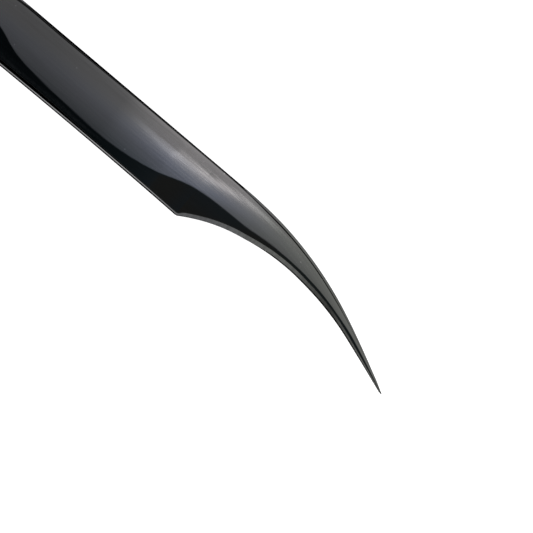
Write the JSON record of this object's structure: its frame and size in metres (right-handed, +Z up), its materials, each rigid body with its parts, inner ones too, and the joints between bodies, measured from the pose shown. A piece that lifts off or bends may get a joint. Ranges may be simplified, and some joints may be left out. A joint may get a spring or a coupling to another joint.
{
  "type": "curved-tip tweezers",
  "caption": "Curved fine-point tweezers: two bowed spring-steel arms joined at the tail, each stepping down at a notch into a long hooked point.",
  "frame": {"origin": "middle of the footprint, on the table that the flat of the lower arm lies on", "axes": "+X towards the points, +Y towards the curved spine edge, +Z up through both arms, with the squeeze close to Z"},
  "size_m": [0.1201, 0.0106, 0.0149],
  "materials": {
    "black_mirror_steel": "black plasma coating on mirror-polished stainless steel",
    "black_ground_steel": "black plasma coating on finely ground stainless steel"
  },
  "bodies": {
    "tail": {"tail_spacer": "black_ground_steel"},
    "upper": {"upper_arm": "black_mirror_steel"},
    "lower": {"lower_arm": "black_mirror_steel"}
  },
  "joints": [
    {"name": "upper_arm_flex", "type": "hinge", "parent": "tail", "child": "upper", "pos_m": [-0.04812, 0, 0.00366], "axis": [0, 1, 0], "range_deg": [0, 2.27], "stiffness_Nm_per_rad": 2.4},
    {"name": "lower_arm_flex", "type": "hinge", "parent": "tail", "child": "lower", "pos_m": [-0.04795, 0, 0.0013], "axis": [0, -1, 0], "range_deg": [0, 2.27], "stiffness_Nm_per_rad": 2.4}
  ],
  "couplings": [
    {"joint": "lower_arm_flex", "follows": "upper_arm_flex", "ratio": 1}
  ]
}
